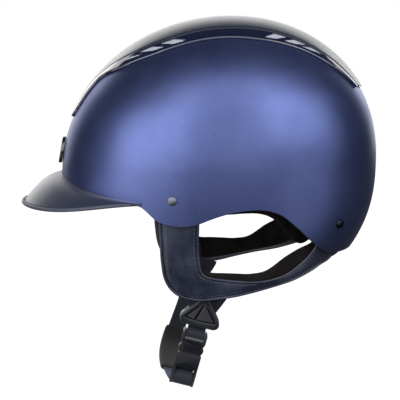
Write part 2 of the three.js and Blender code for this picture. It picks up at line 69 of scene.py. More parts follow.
# -------------------- sizes: the shell's come from the frame, the others repeat the CAD's
shell_low, shell_high = (np.array(corner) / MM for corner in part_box("outer_shell"))
CROWN_Z = shell_high[2]
FRONT_LENGTH = -shell_low[0]
REAR_LENGTH = 124.7
HALF_WIDTH = shell_high[1]
BELT_Z = -95
FRONT_BELT_Z = -102
SIDE_BELT_Z = -92
REAR_BELT_Z = -87
BELT_CENTRE = (0, 0, SIDE_BELT_Z)
SQUARENESS = 2.1
SHELL_WALL = 3
FOAM_CROWN = 22
CROWN_PAD_TOP = 24.2
PAD_THICKNESS = 6
# depths of the face and the back below the shell's surface
LEATHER = (4.8, 6.7)
LINING = (7.0, 9.4)
PEAK_CENTRE_X = -80.6
PEAK_LENGTH = 94.6
PEAK_HALF_WIDTH = 95
BEAD_RADIUS = 1.5
WEBBING_WIDTH = 15
WEBBING_THICKNESS = 1.4
LEG_HALF_SPREAD = 78
LEG_LEAN = math.radians(9.5)
LOOP_TILT = math.radians(15)
LOOP_ORIGIN = np.array((-24.6, 0, -195))
BUCKLE_DROP = 3.5
LADDER_BAR_DROP = 71.5
STRAP_PIVOT_DROP = 28
BADGE_CENTRE = np.array((-144.8, 0, -82.3))
BADGE_TILT = math.radians(10)
WRAP_RADIUS = 5.4
SLEEVE_RIB = 2.2
SIDES = (("left", -1), ("right", 1))


# -------------------- curves and surfaces
def unit(v):
    return v / np.linalg.norm(v, axis=-1, keepdims=True)


def full_turn(count):
    return np.linspace(0, 2 * math.pi, count, endpoint=False)


def curve(knots):
    """Smooth curve through (position, value) knots, the same one that shapes the CAD solids."""
    x, y = np.array(knots, float).T
    slope = np.empty_like(y)
    slope[1:-1] = (y[2:] - y[:-2]) / (x[2:] - x[:-2])
    slope[0] = 1.5 * (y[1] - y[0]) / (x[1] - x[0]) - slope[1] / 2
    slope[-1] = 1.5 * (y[-1] - y[-2]) / (x[-1] - x[-2]) - slope[-2] / 2

    def at(t):
        t = np.clip(t, x[0], x[-1])
        i = np.clip(np.searchsorted(x, t, side="right") - 1, 0, len(x) - 2)
        h = x[i + 1] - x[i]
        s = (t - x[i]) / h
        rise = (2 * s**3 - 3 * s**2 + 1) * y[i] + (3 * s**2 - 2 * s**3) * y[i + 1]
        return rise + h * ((s**3 - 2 * s**2 + s) * slope[i] + (s**3 - s**2) * slope[i + 1])

    return at


shell_rim = curve([
    (0, -117), (30, -117.5), (46, -117.5), (50, -119.5), (56, -129.8), (61, -133), (66, -133.8),
    (71, -132.4), (78, -127.2), (85, -123), (94, -120.2), (102, -120.5), (109, -125.2),
    (116, -135.5), (123, -146.5), (130, -155.2), (138, -161), (150, -162.5), (180, -163),
])
peak_seam = curve([(0, -100), (12, -104), (28, -111), (50, -116.5)])
trim_inner = curve([
    (-74, 0.4), (-71.5, 2.7), (-67, 4.1), (-60, 4.7), (-52, 8.5), (-46, 12.5), (-40, 15.5), (-32, 18),
    (-24, 19.6), (0, 20.4), (22, 19.9), (40, 18.6), (50, 17), (58, 15),
])
trim_outer = curve([
    (-74, 3.4), (-71, 5.8), (-64, 7.4), (-57, 9.5), (-50, 16.5), (-43, 21.3), (-34, 24.9), (-23, 26.6),
    (0, 27.6), (12, 27.7), (29, 25.6), (41, 23.2), (50, 19.8), (58, 16.2),
])
pad_drop = curve([
    (0, 3), (45, 5), (60, -3), (75, 1), (88, 7), (112, 9), (122, 10.5), (131, 9), (145, 3.5), (180, 2),
])


def rounding(t, power):
    return np.maximum(1 - np.minimum(np.abs(t), 1) ** power, 1e-12) ** (1 / power)


def front_reach(z):
    above = rounding((z - FRONT_BELT_Z) / (CROWN_Z - FRONT_BELT_Z), 2)
    return FRONT_LENGTH * np.where(z > FRONT_BELT_Z, above, 1)


def rear_reach(z):
    t = np.maximum((REAR_BELT_Z - z) / 75, 0)
    above = REAR_LENGTH * rounding((z - REAR_BELT_Z) / (CROWN_Z - REAR_BELT_Z), SQUARENESS)
    below = REAR_LENGTH - 20 * np.where(t < 1, t**2.6, 2.6 * t - 1.6)
    return np.where(z > REAR_BELT_Z, above, below)


def side_reach(z):
    above = rounding((z - SIDE_BELT_Z) / (CROWN_Z - SIDE_BELT_Z), SQUARENESS)
    return HALF_WIDTH * np.where(z > SIDE_BELT_Z, above, rounding((z - SIDE_BELT_Z) / 170, 2.5))


def outside(p):
    x, y, z = p[..., 0], p[..., 1], p[..., 2]
    reach = np.where(x < 0, front_reach(z), rear_reach(z))
    value = np.abs(x / reach) ** SQUARENESS + np.abs(y / side_reach(z)) ** SQUARENESS - 1
    return np.where(z >= CROWN_Z, z - CROWN_Z + 1, value)


def normal_at(p):
    step = np.eye(3) * 0.05
    slope = np.stack([outside(p + h) - outside(p - h) for h in step], -1)
    return unit(np.where(p[..., 2:] > CROWN_Z - 0.3, (0, 0, 1), slope))


def hull(angle, z, depth):
    """Points on the helmet's surface by degrees from the front and height, sunk by a depth."""
    angle, z, depth = np.broadcast_arrays(*(np.asarray(v, float) for v in (angle, z, depth)))
    c, s = np.cos(np.radians(angle)), np.sin(np.radians(angle))
    reach = np.where(c > 0, front_reach(z), rear_reach(z))
    r = (np.abs(c / reach) ** SQUARENESS + np.abs(s / side_reach(z)) ** SQUARENESS) ** (-1 / SQUARENESS)
    p = np.stack([-r * c, -r * s, z], -1)
    return p - normal_at(p) * depth[..., None]


def height_at(share, rim_z):
    span = CROWN_Z - BELT_Z
    below = (BELT_Z - rim_z) / span
    end = np.where(below < 0, np.arccos(np.clip(-below, -1, 1)), np.pi / 2 + below)
    turn = share * end
    return np.where(turn < np.pi / 2, BELT_Z + span * np.cos(turn), BELT_Z - span * (turn - np.pi / 2))


def crown(fore_aft, sideways, depth):
    """Surface points by fore-aft and sideways degrees about the middle of the belt."""
    fore_aft, sideways, depth = np.broadcast_arrays(
        *(np.asarray(v, float) for v in (fore_aft, sideways, depth))
    )
    a, b = np.radians(fore_aft), np.radians(sideways)
    way = np.stack([np.sin(a) * np.cos(b), -np.sin(b), np.cos(a) * np.cos(b)], -1)
    near, far = np.full(a.shape, 60.0), np.full(a.shape, 200.0)
    for _ in range(40):
        r = (near + far) / 2
        out = outside(way * r[..., None] + BELT_CENTRE) > 0
        far = np.where(out, r, far)
        near = np.where(out, near, r)
    p = way * near[..., None] + BELT_CENTRE
    return p - normal_at(p) * depth[..., None]


def in_loop(p):
    """From the chin loop's own plane to the helmet's frame."""
    p = np.asarray(p, float)
    c, s = math.cos(LOOP_TILT), math.sin(LOOP_TILT)
    x, y, z = p[..., 0], p[..., 1], p[..., 2]
    return np.stack([c * x + s * z, y, c * z - s * x], -1) + LOOP_ORIGIN


def in_leg(p, sign):
    """From one strap leg's own frame (X along the width, Z up the leg) to the helmet's frame."""
    p = np.asarray(p, float)
    c, s = math.cos(LEG_LEAN), -sign * math.sin(LEG_LEAN)
    x, y, z = p[..., 0], p[..., 1], p[..., 2]
    return in_loop(np.stack([x, c * y - s * z + sign * LEG_HALF_SPREAD, s * y + c * z], -1))


# -------------------- meshes
def add_object(name, data):
    obj = bpy.data.objects.new(name, data)
    bpy.context.scene.collection.objects.link(obj)
    return obj


def read(items, key, width=1, kind=float):
    """One property of many mesh elements, a row for each."""
    values = np.zeros(len(items) * width, kind)
    items.foreach_get(key, values)
    return values.reshape(-1, width) if width > 1 else values


def make_object(name, points, faces, uv=None):
    mesh = bpy.data.meshes.new(name)
    mesh.from_pydata((np.asarray(points).reshape(-1, 3) * MM).tolist(), [], faces)
    mesh.polygons.foreach_set("use_smooth", [True] * len(mesh.polygons))
    if uv is not None:
        layer = mesh.uv_layers.new(name="UVMap")
        corner = read(mesh.loops, "vertex_index", kind=np.int64)
        layer.data.foreach_set("uv", np.asarray(uv, np.float32)[corner].ravel())
    return add_object(name, mesh)


def fix_normals(obj, merge=0.0):
    b = bmesh.new()
    b.from_mesh(obj.data)
    if merge:
        bmesh.ops.remove_doubles(b, verts=b.verts, dist=merge)
    bmesh.ops.recalc_face_normals(b, faces=b.faces)
    b.to_mesh(obj.data)
    b.free()
    return obj


def running_length(points, axis):
    step = np.linalg.norm(np.diff(points, axis=axis), axis=-1)
    start = np.zeros_like(np.take(step, [0], axis=axis))
    return np.concatenate([start, np.cumsum(step, axis=axis)], axis=axis)


def loft(name, rings, closed_path=False, caps=True):
    """Closed skin over a row of closed rings, rings[i][j] = point. UVs are in millimetres."""
    rings = np.asarray(rings, float)
    n, m = rings.shape[:2]
    faces = []
    for i in range(n if closed_path else n - 1):
        k = (i + 1) % n
        for j in range(m):
            q = (j + 1) % m
            faces.append((i * m + j, i * m + q, k * m + q, k * m + j))
    if caps and not closed_path:
        faces.append(tuple(range(m - 1, -1, -1)))
        faces.append(tuple((n - 1) * m + j for j in range(m)))
    along = running_length(rings, 0)
    around = running_length(rings, 1)
    uv = np.stack([along, around], -1).reshape(-1, 2)
    return fix_normals(make_object(name, rings, faces, uv), 1e-7)


def bake(obj):
    """Applies an object's modifiers to its mesh."""
    graph = bpy.context.evaluated_depsgraph_get()
    mesh = bpy.data.meshes.new_from_object(obj.evaluated_get(graph))
    obj.modifiers.clear()
    obj.data = mesh
    return obj


def subtract(obj, tool):
    cutter = obj.modifiers.new("cut", "BOOLEAN")
    cutter.operation = "DIFFERENCE"
    cutter.solver = "EXACT"
    cutter.object = tool
    bake(obj)
    bpy.data.objects.remove(tool)


def smooth_by_angle(obj, degrees):
    obj.data.shade_smooth()
    obj.data.set_sharp_from_angle(angle=math.radians(degrees))
    return obj


def soften(obj, radius, degrees):
    """Rounds the edges that turn by more than an angle."""
    bevel = obj.modifiers.new("soft edges", "BEVEL")
    bevel.width = radius * MM
    bevel.segments = 3
    bevel.limit_method = "ANGLE"
    bevel.angle_limit = math.radians(degrees)
    return bake(obj)


def rounded_copy(node, name, radius):
    """A copy of a hard CAD piece with softened edges."""
    obj = add_object(name, nodes[node].data.copy())
    b = bmesh.new()
    b.from_mesh(obj.data)
    bmesh.ops.remove_doubles(b, verts=b.verts, dist=2e-5)
    bmesh.ops.dissolve_limit(b, angle_limit=math.radians(3), verts=b.verts, edges=b.edges)
    bmesh.ops.recalc_face_normals(b, faces=b.faces)
    b.to_mesh(obj.data)
    b.free()
    return smooth_by_angle(soften(obj, radius, 28), 35)


def join_objects(name, objects):
    """One object from several that have no materials yet."""
    b = bmesh.new()
    for obj in objects:
        b.from_mesh(obj.data)
        bpy.data.objects.remove(obj)
    mesh = bpy.data.meshes.new(name)
    b.to_mesh(mesh)
    b.free()
    return add_object(name, mesh)


# -------------------- materials
class Nodes:
    """Shorthand for building one Principled material."""

    def __init__(self, name, **sockets):
        self.material = bpy.data.materials.new(name)
        self.material.use_nodes = True
        self.tree = self.material.node_tree
        self.shader = self.tree.nodes["Principled BSDF"]
        for key, value in sockets.items():
            self.shader.inputs[key.replace("_", " ")].default_value = value

    def add(self, kind, **values):
        node = self.tree.nodes.new(kind)
        for key, value in values.items():
            if hasattr(node, key):
                setattr(node, key, value)
            else:
                node.inputs[key.replace("_", " ")].default_value = value
        return node

    def link(self, output, target):
        self.tree.links.new(output, target)
        return target.node

    def place(self, uv=False):
        return self.add("ShaderNodeTexCoord").outputs["UV" if uv else "Object"]

    def noise(self, source, scale, detail=3.0, roughness=0.55):
        node = self.add("ShaderNodeTexNoise", Scale=scale, Detail=detail, Roughness=roughness)
        self.link(source, node.inputs["Vector"])
        return node.outputs["Fac"]

    def spread(self, value, low, high, start=0.3, end=0.7):
        """Maps a value's start..end onto low..high."""
        node = self.add("ShaderNodeMapRange")
        for socket, number in zip(("From Min", "From Max", "To Min", "To Max"), (start, end, low, high)):
            node.inputs[socket].default_value = number
        self.link(value, node.inputs["Value"])
        return node.outputs["Result"]

    def mix(self, factor, a, b):
        node = self.add("ShaderNodeMix", data_type="RGBA")
        self.link(factor, node.inputs["Factor"])
        for socket, value in ((node.inputs[6], a), (node.inputs[7], b)):
            if isinstance(value, tuple):
                socket.default_value = (*value, 1)
            else:
                self.link(value, socket)
        return node.outputs[2]

    def math(self, operation, a, b=None):
        node = self.add("ShaderNodeMath", operation=operation)
        for socket, value in zip(node.inputs, (a, b)):
            if isinstance(value, (int, float)):
                socket.default_value = value
            elif value is not None:
                self.link(value, socket)
        return node.outputs[0]

    def colour(self, value):
        self.link(value, self.shader.inputs["Base Color"])

    def roughness(self, value):
        self.link(value, self.shader.inputs["Roughness"])

    def bump(self, height, strength, distance_mm):
        node = self.add("ShaderNodeBump", Strength=strength, Distance=distance_mm * MM)
        self.link(height, node.inputs["Height"])
        self.link(node.outputs["Normal"], self.shader.inputs["Normal"])


def flake_paint(name, dark, light, roughness, metallic, coat, haze):
    """Flake paint; haze is the pale bloom seen at a low angle."""
    coating = {"Coat_Weight": coat, "Coat_Roughness": 0.3}
    n = Nodes(name, Metallic=metallic, Sheen_Weight=haze, Sheen_Roughness=0.3, **coating)
    at = n.place()
    flakes = n.noise(at, 2600, 1, 0.5)
    clouds = n.noise(at, 9, 4)
    tone = n.math("ADD", n.math("MULTIPLY", flakes, 0.45), n.math("MULTIPLY", clouds, 0.55))
    n.colour(n.mix(n.spread(tone, 0, 1, 0.35, 0.65), dark, light))
    n.roughness(n.spread(n.noise(at, 60, 5), roughness - 0.03, roughness + 0.03))
    n.bump(flakes, 0.06, 0.05)
    return n.material


def gloss_plastic(name, dark, light):
    n = Nodes(name, Coat_Weight=1.0, Coat_Roughness=0.06, IOR=1.9)
    at = n.place()
    n.colour(n.mix(n.noise(at, 30, 3), dark, light))
    n.roughness(n.spread(n.noise(at, 45, 6), 0.05, 0.13))
    n.bump(n.noise(at, 35, 2), 0.05, 0.2)
    return n.material


def moulded_plastic(name, dark, light, roughness):
    """Fine-grained plastic, painted paler along its raised edges as a painted highlight."""
    n = Nodes(name, IOR=1.5)
    at = n.place()
    edge = n.add("ShaderNodeNewGeometry").outputs["Pointiness"]
    tone = n.mix(n.noise(at, 120, 4), dark, light)
    # painted highlight: a paler colour on the raised edges stands in for the gloss catching the light
    painted_edge_highlight = tuple(min(1, c * 2.2 + 0.11) for c in light)
    n.colour(n.mix(n.spread(edge, 0, 0.8, 0.51, 0.57), tone, painted_edge_highlight))
    n.roughness(n.spread(n.noise(at, 90, 5), roughness - 0.06, roughness + 0.08))
    n.bump(n.noise(at, 1500, 2), 0.25, 0.06)
    return n.material


def leather(name, dark, light):
    n = Nodes(name, IOR=1.5, Coat_Weight=0.5, Coat_Roughness=0.22)
    at = n.place()
    cells = n.add("ShaderNodeTexVoronoi", feature="DISTANCE_TO_EDGE", Scale=1150)
    n.link(at, cells.inputs["Vector"])
    pores = n.noise(at, 1400, 3)
    creases = n.noise(at, 32, 6, 0.65)
    tone = n.mix(n.spread(creases, 0, 1, 0.38, 0.62), dark, light)
    n.colour(n.mix(n.spread(cells.outputs["Distance"], 0.3, 0, 0, 0.12), tone, dark))
    n.roughness(n.spread(creases, 0.33, 0.5))
    pebbles = n.spread(cells.outputs["Distance"], 0, 0.7, 0, 0.25)
    grain = n.math("ADD", pebbles, n.math("MULTIPLY", pores, 0.3))
    n.bump(n.math("ADD", grain, n.math("MULTIPLY", creases, 1.6)), 0.2, 0.2)
    return n.material


def pile_fabric(name, dark, light):
    n = Nodes(name, Roughness=0.95, Sheen_Weight=0.12, Sheen_Roughness=0.4, Specular_IOR_Level=0.2)
    at = n.place()
    pile = n.noise(at, 1500, 3, 0.7)
    nap = n.noise(at, 70, 4)
    tone = n.math("ADD", n.math("MULTIPLY", pile, 0.6), n.math("MULTIPLY", nap, 0.4))
    n.colour(n.mix(n.spread(tone, 0, 1, 0.35, 0.65), dark, light))
    n.bump(pile, 0.8, 0.4)
    return n.material


def woven_tape(name, dark, light, tint, pitch=1.1, ribs=0.0):
    """Tape with a twill weave in UV millimetres: u runs along it and v across it."""
    n = Nodes(name, Roughness=0.7, Sheen_Weight=0.6, Sheen_Roughness=0.45, Sheen_Tint=(*tint, 1))
    split = n.add("ShaderNodeSeparateXYZ")
    n.link(n.place(uv=True), split.inputs[0])
    u, v = split.outputs[0], split.outputs[1]
    turn = 2 * math.pi / pitch
    along = n.math("SINE", n.math("MULTIPLY", n.math("ADD", u, n.math("MULTIPLY", v, 0.55)), turn))
    across = n.math("SINE", n.math("MULTIPLY", v, turn * 1.3))
    weave = n.math("ADD", n.math("MULTIPLY", n.math("MULTIPLY", along, across), 0.25), 0.5)
    if ribs:
        rib = n.math("SINE", n.math("MULTIPLY", u, 2 * math.pi / ribs))
        weave = n.math("ADD", n.math("MULTIPLY", weave, 0.35), n.spread(rib, 0, 0.65, -1, 1))
    fuzz = n.noise(n.place(), 1800, 3)
    n.colour(n.mix(n.math("ADD", n.math("MULTIPLY", weave, 0.7), n.math("MULTIPLY", fuzz, 0.3)), dark, light))
    n.bump(n.math("ADD", weave, n.math("MULTIPLY", fuzz, 0.3)), 0.7, 0.35)
    return n.material


def satin_metal(name, dark, light, roughness=0.3):
    n = Nodes(name, Metallic=1.0, Anisotropic=0.3)
    at = n.place()
    scratches = n.noise(at, 500, 5, 0.7)
    n.colour(n.mix(scratches, dark, light))
    n.roughness(n.spread(scratches, roughness - 0.08, roughness + 0.08))
    n.bump(scratches, 0.1, 0.03)
    return n.material


def bead_foam(name, dark, light):
    n = Nodes(name, Roughness=0.85)
    cells = n.add("ShaderNodeTexVoronoi", feature="F1", Scale=330)
    n.link(n.place(), cells.inputs["Vector"])
    n.colour(n.mix(n.spread(cells.outputs["Distance"], 0, 1, 0.1, 0.6), light, dark))
    n.bump(cells.outputs["Distance"], 0.7, -0.4)
    return n.material


def thread(name, dark, light):
    n = Nodes(name, Roughness=0.6, Sheen_Weight=0.3)
    at = n.place()
    n.colour(n.mix(n.noise(at, 2200, 2), dark, light))
    n.bump(n.noise(at, 2600, 2), 0.5, 0.1)
    return n.material


SHELL = flake_paint("shell_navy", (0.085, 0.12, 0.33), (0.17, 0.22, 0.53), 0.4, 0.93, 0.4, 0.1)
CROWN = flake_paint("crown_matte", (0.014, 0.019, 0.045), (0.03, 0.038, 0.08), 0.38, 0.1, 1.0, 0.6)
TRIM = gloss_plastic("trim_gloss", (0.006, 0.011, 0.045), (0.01, 0.018, 0.07))
PEAK = flake_paint("peak_matte", (0.022, 0.028, 0.06), (0.045, 0.055, 0.11), 0.45, 0.1, 1.0, 0.9)
RUBBER = moulded_plastic("bead_rubber", (0.03, 0.036, 0.062), (0.05, 0.058, 0.09), 0.42)
LEATHER_MAT = leather("harness_leather", (0.016, 0.021, 0.046), (0.064, 0.074, 0.122))
PILE = pile_fabric("lining_pile", (0.0035, 0.003, 0.0027), (0.026, 0.022, 0.02))
WEBBING = woven_tape("webbing_twill", (0.0035, 0.0045, 0.008), (0.035, 0.041, 0.066), (0.6, 0.65, 0.9))
SLEEVE = woven_tape(
    "sleeve_knit", (0.002, 0.002, 0.002), (0.014, 0.014, 0.0145), (0.4, 0.4, 0.4), 1.4, SLEEVE_RIB
)
BUCKLE = moulded_plastic("buckle_moulding", (0.007, 0.008, 0.012), (0.015, 0.017, 0.025), 0.22)
SCREW = satin_metal("screw_satin", (0.2, 0.22, 0.27), (0.38, 0.41, 0.48), 0.55)
# painted shade: a darker copy of the same screw metal, for the rear screws' dim reflections
SHADED_SCREW_COPY = satin_metal("screw_painted_shade", (0.02, 0.022, 0.028), (0.05, 0.054, 0.065), 0.4)
BADGE_METAL = satin_metal("badge_metal", (0.1, 0.1, 0.115), (0.22, 0.22, 0.25))
# painted reflection: near-white lavender stands in for the sky reflected on the vents' walls
VENT_PAINTED_REFLECTION = gloss_plastic("vent_painted_reflection", (0.72, 0.75, 0.93), (0.84, 0.87, 0.99))
BADGE_FACE = gloss_plastic("badge_gloss", (0.012, 0.016, 0.04), (0.02, 0.026, 0.06))
NUT = satin_metal("nut_metal", (0.4, 0.4, 0.42), (0.65, 0.65, 0.66))
FOAM = bead_foam("bead_foam", (0.004, 0.004, 0.005), (0.03, 0.031, 0.034))
STITCH = thread("stitch_thread", (0.05, 0.058, 0.11), (0.15, 0.165, 0.26))


def finish_piece(obj, material, body, slot, *replaced, smooth=None):
    """Gives a piece its look, body and CAD nodes; slot is not used; smooth is the angle of its sharp edges.
    """
    if smooth:
        smooth_by_angle(obj, smooth)
    obj.data.materials.clear()
    obj.data.materials.append(material)
    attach(obj, body)
    if replaced:
        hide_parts(*replaced)


# -------------------- shell, crown panel and trims
def shade_by_surface(obj):
    """Takes shading normals from the helmet's true surface where a face follows it."""
    mesh = obj.data
    corner = read(mesh.loops, "vertex_index", kind=np.int64)
    true = normal_at(read(mesh.vertices, "co", 3) / MM)[corner]
    totals = read(mesh.polygons, "loop_total", kind=np.int64)
    face = np.repeat(read(mesh.polygons, "normal", 3), totals, axis=0)
    facing = np.sum(true * face, -1)
    normals = read(mesh.corner_normals, "vector", 3)
    normals[facing > 0.9] = true[facing > 0.9]
    normals[facing < -0.9] = -true[facing < -0.9]
    mesh.normals_split_custom_set(normals.tolist())


def rolled(outer, inner):
    """Half-round edge points leading from one depth row to another."""
    middle = (outer + inner) / 2
    half = (outer - inner) / 2
    side = np.roll(outer, -1, 0) - np.roll(outer, 1, 0)
    out = np.cross(side, half)
    out = unit(out) * np.linalg.norm(half, axis=-1, keepdims=True)
    if out[:, 2].mean() > 0:
        out = -out
    turns = np.linspace(0, math.pi, 7)[1:-1]
    return [middle + half * math.cos(t) + out * math.sin(t) * 0.75 for t in turns]


# fore-aft start and end of each vent, and how far its ends lean, in degrees
VENTS = [(start, start + 6, 5) for start in (-46.3, -37.6, -28.8)]
VENTS += [(start, start + 6, -5) for start in (14.2, 22.7, 30.4)]
VENT_MARGIN = 1.4
VENT_CORNER = 0.16


def vent_point(sign, fore_aft, share, depth, lean):
    """A point in a vent by its share across the trim."""
    low, high = trim_inner(fore_aft) + VENT_MARGIN, trim_outer(fore_aft) - VENT_MARGIN
    sideways = low + (high - low) * share
    return crown(fore_aft + (share - 0.5) * lean, -sign * sideways, depth)


def vent_tool(sign, start, end, lean):
    """Slot-shaped block with rounded corners, for cutting one vent."""
    near, far = VENT_CORNER, 1 - VENT_CORNER
    outline = []
    for corner, (u, v) in enumerate(((near, near), (far, near), (far, far), (near, far))):
        for t in np.linspace(0, math.pi / 2, 5):
            turn = math.pi + corner * math.pi / 2 + t
            outline.append((u + VENT_CORNER * math.cos(turn), v + VENT_CORNER * math.sin(turn)))
    shares = np.array(outline)
    fore_aft = start + shares[:, 0] * (end - start)
    rings = [vent_point(sign, fore_aft, shares[:, 1], depth, lean) for depth in (-6, 1, 7)]
    return loft("vent_cutter", rings)


# end of the helmet, degrees from the front, height
SCREW_SPOTS = (("front", 62.1, -113.2), ("rear", 138, -136.4))
SCREW_HOLE = 2.3


def turned(name, sign, angle, z, profile, count, hollow=False):
    """A piece turned about the shell's normal; profile rows are (radius, height above the shell)."""
    seat = hull(-sign * angle, z, 0)
    way = normal_at(seat)
    side = unit(np.cross(way, (0, 0, 1)))
    turns = full_turn(count)
    spin = np.cos(turns)[:, None] * side + np.sin(turns)[:, None] * np.cross(side, way)
    return loft(name, [seat + way * h + spin * r for r, h in profile], hollow)


def make_shell():
    angles = np.linspace(-180, 180, 300, endpoint=False)
    rims = shell_rim(np.abs(angles))
    shares = np.concatenate([np.linspace(0.004, 0.9, 84), np.linspace(0.908, 1, 12)])

    def level(depth):
        return [hull(angles, height_at(s, rims), depth) for s in shares]

    outer, inner = level(0), level(SHELL_WALL)
    shell = loft("shell", [*outer, *rolled(outer[-1], inner[-1]), *reversed(inner)])
    rod = [(SCREW_HOLE, 8), (SCREW_HOLE, 0), (SCREW_HOLE, -8)]
    tools = [vent_tool(sign, *vent) for _, sign in SIDES for vent in VENTS]
    tools += [turned("screw_cutter", sign, *spot[1:], rod, 24) for _, sign in SIDES for spot in SCREW_SPOTS]
    subtract(shell, join_objects("shell_cutters", tools))
    shade_by_surface(shell)
    finish_piece(shell, SHELL, "helmet", "shell_paint", "outer_shell")


# depths below the shell's surface; minus is above it
PANEL_TOP = -1.9
TRIM_TOP = -2.2
STRIP_SEAT = -0.45


def strip_section(flat_steps, top, bottom, rounding_share):
    """Section of a moulded strip as (share across, depth) pairs, round along both edges."""
    turns = np.linspace(0, math.pi / 2, 6)
    edge = [(rounding_share * (1 - math.cos(t)), bottom + (top - bottom) * math.sin(t)) for t in turns]
    flat = [(s, top) for s in np.linspace(rounding_share, 1 - rounding_share, flat_steps)[1:-1]]
    other = [(1 - s, d) for s, d in reversed(edge)]
    return edge + flat + other


def make_crown_panel():
    section = strip_section(22, PANEL_TOP, STRIP_SEAT, 0.035)
    rings = []
    across = np.array([2 * s - 1 for s, _ in section])
    depths = np.array([d for _, d in section])
    for a in np.linspace(-69.5, 61, 200):
        rounded = a - 4 * across**2 * smoothstep(a, 46, 61)
        rings.append(crown(rounded, across * (trim_inner(rounded) - 0.25), depths))
    finish_piece(loft("crown_cover", rings), CROWN, "helmet", "crown_paint", "crown_panel", smooth=50)


def make_trim(side, sign):
    rings = []
    for a in np.linspace(-74, 58, 260):
        low, high = trim_inner(a), trim_outer(a)
        section = strip_section(9, TRIM_TOP, STRIP_SEAT, min(0.3, 0.9 / (high - low)))
        shares = np.array([-sign * (low + s * (high - low)) for s, _ in section])
        depths = np.array([d for _, d in section])
        rings.append(crown(a, shares, depths))
    trim = loft(f"{side}_vent_trim", rings)
    subtract(trim, join_objects("vent_cutters", [vent_tool(sign, *vent) for vent in VENTS]))
    shade_by_surface(trim)
    finish_piece(trim, TRIM, "helmet", "gloss_trim", f"{side}_gloss_trim")


def make_vent_blades(side, sign):
    """A sloping blade that fills most of each vent, its near-white colour a painted reflection."""
    shares = np.array((0.06, 0.5, 0.78, 0.78, 0.5, 0.06))
    depths = np.array((-1.9, -1.75, -1.5, -0.3, -0.4, -0.6))
    blades = []
    for start, end, lean in VENTS:
        stations = np.linspace(start + 0.5, end - 0.5, 8)
        blades.append(loft("blade", [vent_point(sign, a, shares, depths, lean) for a in stations]))
    piece = join_objects(f"{side}_vent_blades", blades)
    finish_piece(piece, VENT_PAINTED_REFLECTION, "helmet", "satin_metal", smooth=30)


# -------------------- peak and badge
def peak_rim(turn, extra=0.0):
    turn = np.radians(turn)
    y = (PEAK_HALF_WIDTH + extra) * np.sin(turn)
    x = PEAK_CENTRE_X - (PEAK_LENGTH + extra) * np.cos(turn)
    return np.stack([x, y, -126 + 8.7 * np.abs(y / 96) ** 6], -1)


def make_peak():
    turns = np.linspace(-90, 90, 161)
    angles = -turns * 50 / 90
    shares = np.concatenate([np.linspace(0, 0.92, 30), np.linspace(0.94, 1, 5)])

    def level(root_drop, rim_drop, bulge):
        taper = 1 - 0.72 * np.abs(turns / 90) ** 5
        root = hull(angles, peak_seam(np.abs(angles)) - root_drop * taper, -0.4)
        rim = peak_rim(turns) - (rim_drop * taper)[:, None] * np.array((0, 0, 1))
        lift = np.cos(np.radians(turns))[:, None] * np.array((0, 0, 1))
        return [root + (rim - root) * s + bulge * math.sin(math.pi * s) * lift for s in shares]

    top, under = level(0, -1.4, 5), level(6, 1.4, 4)
    across = np.array([*top, *reversed(under)]).transpose(1, 0, 2)
    finish_piece(loft("peak_blade", across), PEAK, "helmet", "peak_paint", "peak", smooth=55)


def make_bead():
    turns = np.linspace(-86, 86, 121)
    path = peak_rim(turns, BEAD_RADIUS + 0.3)
    ahead = unit(np.gradient(path, axis=0))
    side = unit(np.cross(ahead, (0, 0, 1.0)))
    lift = np.cross(side, ahead)
    angles = full_turn(14)
    taper = np.sqrt(np.clip(1 - np.linspace(-1, 1, len(path)) ** 20, 0.05, 1))
    rings = [
        p + BEAD_RADIUS * w * (np.cos(angles)[:, None] * s + np.sin(angles)[:, None] * u)
        for p, s, u, w in zip(path, side, lift, taper)
    ]
    finish_piece(loft("peak_bead", rings), RUBBER, "helmet", "edge_rubber", "peak_edge_bead")


def oval_rings(profile):
    """Rings of the badge; rows are (half width, half height, depth behind its front); None: on the shell."""
    turns = full_turn(72)
    ahead = np.array((-math.cos(BADGE_TILT), 0, math.sin(BADGE_TILT)))
    up = np.array((math.sin(BADGE_TILT), 0, math.cos(BADGE_TILT)))
    rings = []
    for half_width, half_height, depth in profile:
        ring = BADGE_CENTRE + half_height * np.sin(turns)[:, None] * up
        ring[:, 1] = half_width * np.cos(turns)
        if depth is None:
            side = 1 - np.abs(ring[:, 1] / HALF_WIDTH) ** SQUARENESS
            reach = front_reach(ring[:, 2]) * side ** (1 / SQUARENESS)
            ring[:, 0] = -reach - 0.35
        else:
            ring = ring - ahead * depth
        rings.append(ring)
    return rings


def make_badge():
    ring_profile = [
        (9.5, 11.3, None), (9.5, 11.3, 0.9), (9.3, 11.1, 0.35), (8.95, 10.75, 0.08), (8.4, 10.2, 0),
        (7.85, 9.65, 0.08), (7.5, 9.3, 0.35), (7.3, 9.1, 0.9), (7.3, 9.1, None), (9.5, 11.3, None),
    ]
    ring = loft("badge_rim", oval_rings(ring_profile), caps=False)
    finish_piece(ring, BADGE_METAL, "helmet", "satin_metal", "badge_ring", smooth=60)
    disc_profile = [(7, 8.8, None), (7, 8.8, 1.5), (6.8, 8.6, 1.05), (6.4, 8.2, 0.85)]
    disc_profile += [(6.4 * s, 8.2 * s, 0.82) for s in (0.75, 0.5, 0.25, 0.02)]
    disc = loft("badge_face", oval_rings(disc_profile))
    finish_piece(disc, BADGE_FACE, "helmet", "badge_plastic", "badge_disc", smooth=60)


# -------------------- foam and padding
def foam_depth(share, angle):
    return FOAM_CROWN + share**2 * (-3.5 + 6 * np.cos(np.radians(angle)) ** 2)


def smoothstep(x, low, high):
    t = np.clip((x - low) / (high - low), 0, 1)
    return t * t * (3 - 2 * t)


